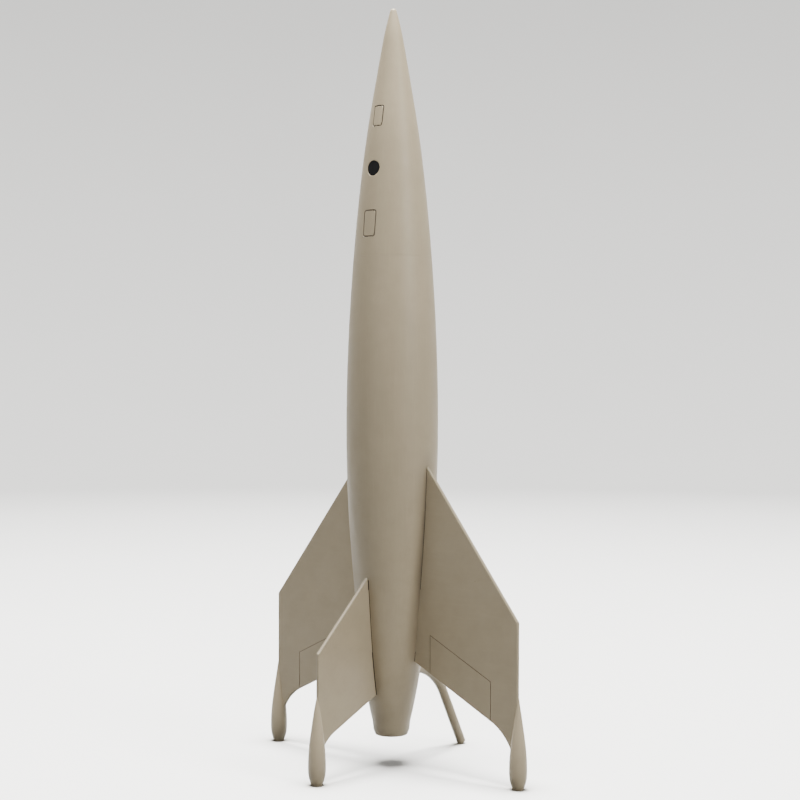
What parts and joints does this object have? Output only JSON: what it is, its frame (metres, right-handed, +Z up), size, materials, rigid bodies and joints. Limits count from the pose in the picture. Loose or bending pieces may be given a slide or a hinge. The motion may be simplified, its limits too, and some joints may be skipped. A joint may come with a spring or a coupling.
{
  "type": "model rocket",
  "caption": "Tapered hull on two large swept fins, one small fin and a bent leg, with a lift-off nose over a parachute bay and a pull-out motor.",
  "frame": {"origin": "on the ground, on the hull's axis, at the height of the feet", "axes": "+Z up the hull towards the nose; +X towards the right large fin; -Y towards the small fin, the porthole and the engraved hatches; +Y towards the bent leg"},
  "size_m": [0.217, 0.1577, 0.498],
  "materials": {
    "hull_primer": "moulded plastic hull, sprayed warm grey primer, satin-matte",
    "fin_primer": "sealed and sanded thin ply, sprayed warm grey primer",
    "foot_primer": "turned hardwood, sprayed warm grey primer",
    "strut_primer": "bent aluminium rod, sprayed warm grey primer",
    "lug_primer": "small tube and pad, sprayed warm grey primer",
    "plywood": "laser-cut birch ply",
    "card_tube": "spiral-wound kraft tube",
    "shoulder_plastic": "moulded styrene, fine grain",
    "zinc_steel": "zinc-plated steel",
    "weight_metal": "cast slug, dull",
    "black_lens": "opaque black acrylic window",
    "canopy_fabric": "thin ripstop nylon, folded and rolled",
    "wadding_paper": "flame-resistant tissue, crumpled",
    "anchor_card": "folded card pad, glued",
    "motor_card": "tightly wound paper casing",
    "nozzle_clay": "pressed clay",
    "propellant": "pressed black grain",
    "delay_mix": "pressed grey delay charge"
  },
  "bodies": {
    "airframe": {"hull_lower": "hull_primer", "hull_upper": "hull_primer", "hull_coupler": "card_tube", "centering_ring_rear": "plywood", "centering_ring_front": "plywood", "centering_ring_middle": "plywood", "centering_ring_top": "plywood", "recovery_tube": "card_tube", "motor_tube": "card_tube", "thrust_ring": "card_tube", "fin_right": "fin_primer", "fin_left": "fin_primer", "fin_front": "fin_primer", "foot_right": "foot_primer", "foot_left": "foot_primer", "foot_front": "foot_primer", "rear_strut": "strut_primer", "strut_socket": "plywood", "launch_lug": "lug_primer", "lug_pad": "lug_primer", "parachute_pack": "canopy_fabric", "recovery_wadding": "wadding_paper", "cord_anchor_pad": "anchor_card"},
    "nose": {"nose_shell": "hull_primer", "nose_shoulder": "shoulder_plastic", "nose_bulkhead": "plywood", "eye_bolt": "zinc_steel", "eye_washer": "zinc_steel", "eye_nut": "zinc_steel", "nose_weight": "weight_metal", "porthole_bezel": "shoulder_plastic", "porthole_lens": "black_lens"},
    "motor": {"motor_casing": "motor_card", "motor_nozzle": "nozzle_clay", "propellant_grain": "propellant", "delay_grain": "delay_mix", "motor_cap": "nozzle_clay"}
  },
  "joints": [
    {"name": "nose_lift", "type": "slide", "parent": "airframe", "child": "nose", "axis": [0, 0, 1], "range_m": [0, 0.04]},
    {"name": "motor_slide", "type": "slide", "parent": "airframe", "child": "motor", "axis": [0, 0, -1], "range_m": [0, 0.07]}
  ]
}
